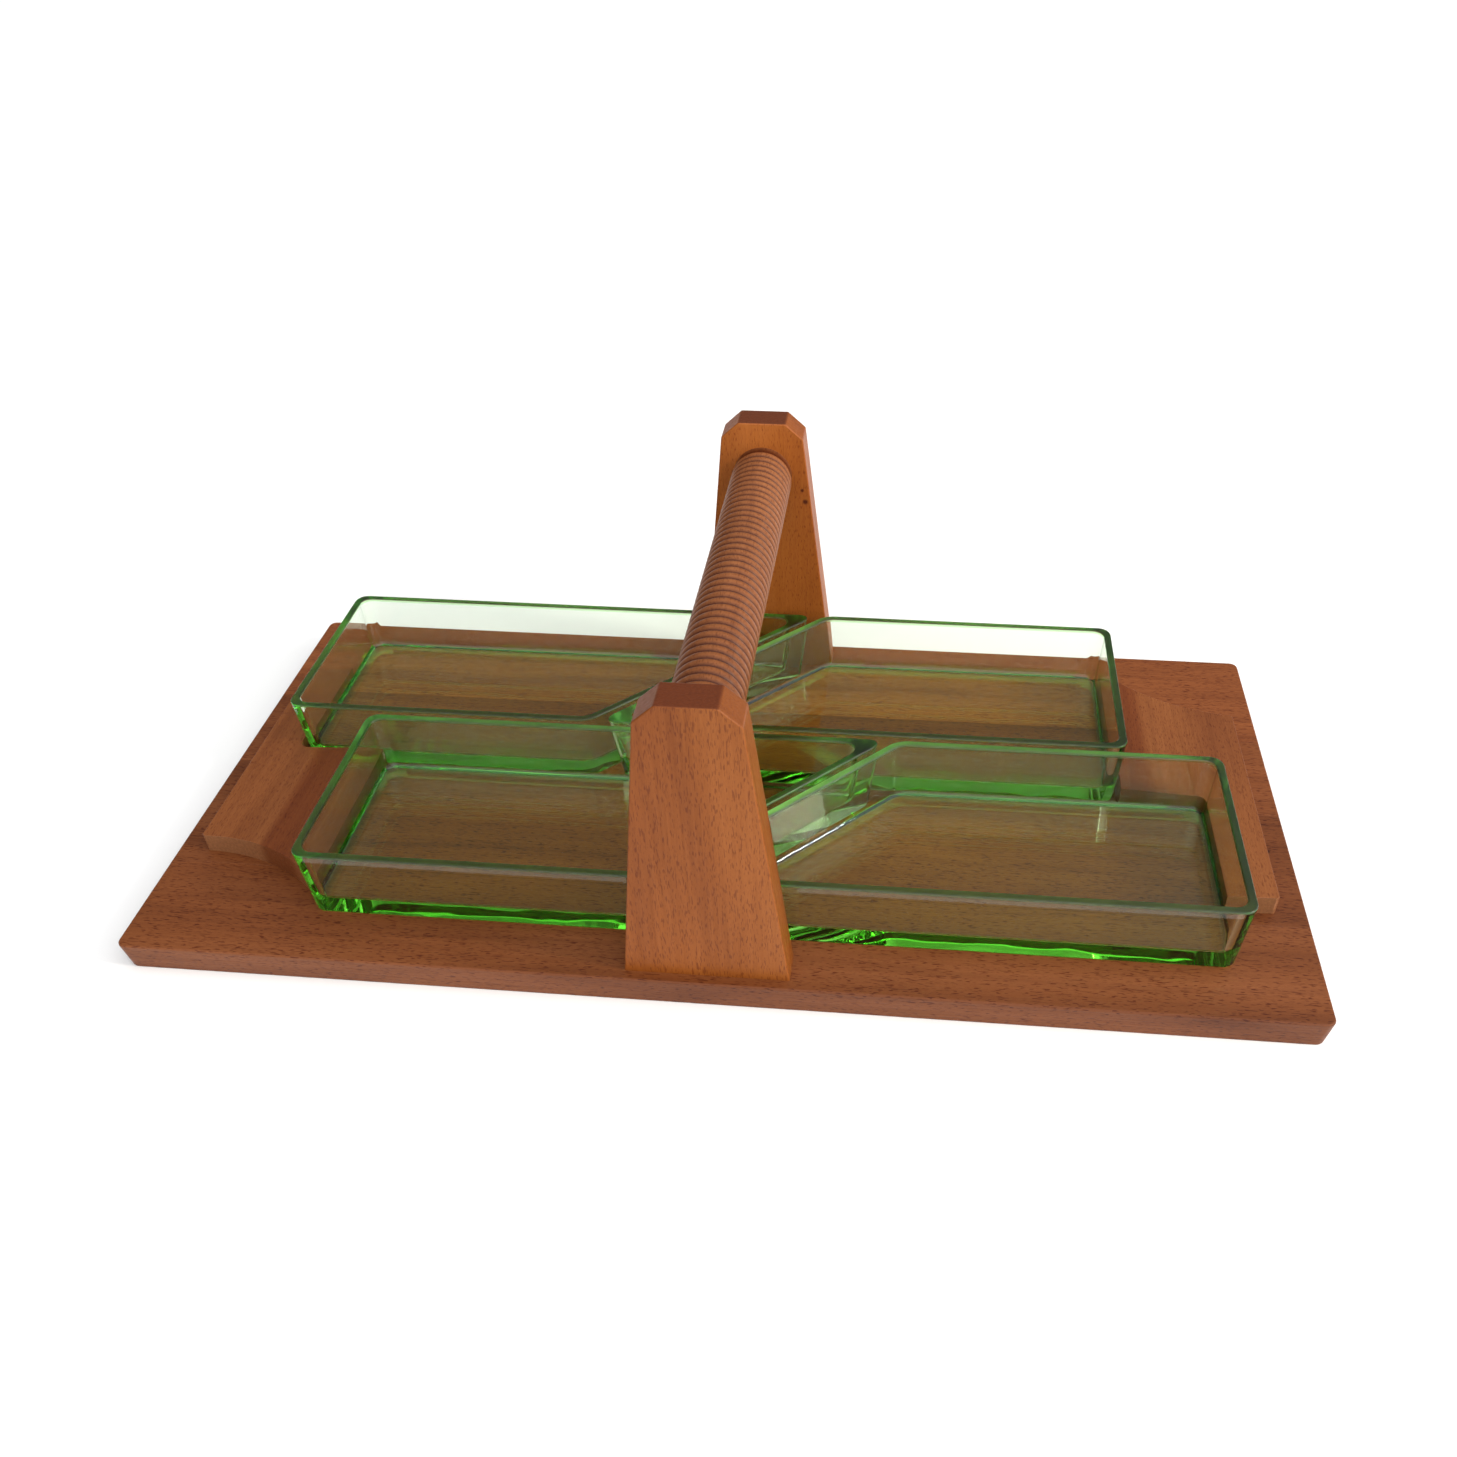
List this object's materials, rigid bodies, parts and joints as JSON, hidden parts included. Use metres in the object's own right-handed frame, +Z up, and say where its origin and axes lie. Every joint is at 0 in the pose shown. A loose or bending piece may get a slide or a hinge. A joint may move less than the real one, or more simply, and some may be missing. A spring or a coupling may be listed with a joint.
{
  "type": "hors d'oeuvre serving carrier",
  "caption": "Low rectangular wooden serving carrier with a turned grip on tapered uprights, holding loose slant-ended glass dishes in staggered rows between end blocks.",
  "frame": {"origin": "middle of the board's underside", "axes": "+X along the board, +Y to its back edge, +Z up"},
  "size_m": [0.4998, 0.2498, 0.149],
  "materials": {
    "board_beech": "satin varnish",
    "block_beech": "satin varnish",
    "upright_beech": "satin varnish",
    "grip_beech": "satin varnish",
    "green_glass": "pressed, fire polished",
    "screw_steel": "slotted wood screw"
  },
  "bodies": {
    "carrier": {"board_stave_1": "board_beech", "board_stave_2": "board_beech", "board_stave_3": "board_beech", "board_stave_4": "board_beech", "end_block_left": "block_beech", "end_block_right": "block_beech", "upright_front": "upright_beech", "upright_back": "upright_beech", "grip": "grip_beech", "upright_screws": "screw_steel", "block_screws": "screw_steel"},
    "dish_front_left": {"dish_front_left": "green_glass"},
    "dish_front_right": {"dish_front_right": "green_glass"},
    "dish_back_left": {"dish_back_left": "green_glass"},
    "dish_back_right": {"dish_back_right": "green_glass"}
  },
  "joints": [
    {"name": "lift_dish_front_left", "type": "slide", "parent": "carrier", "child": "dish_front_left", "axis": [0, 0, 1], "range_m": [0, 0.05]},
    {"name": "lift_dish_front_right", "type": "slide", "parent": "carrier", "child": "dish_front_right", "axis": [0, 0, 1], "range_m": [0, 0.05]},
    {"name": "lift_dish_back_left", "type": "slide", "parent": "carrier", "child": "dish_back_left", "axis": [0, 0, 1], "range_m": [0, 0.05]},
    {"name": "lift_dish_back_right", "type": "slide", "parent": "carrier", "child": "dish_back_right", "axis": [0, 0, 1], "range_m": [0, 0.05]}
  ]
}
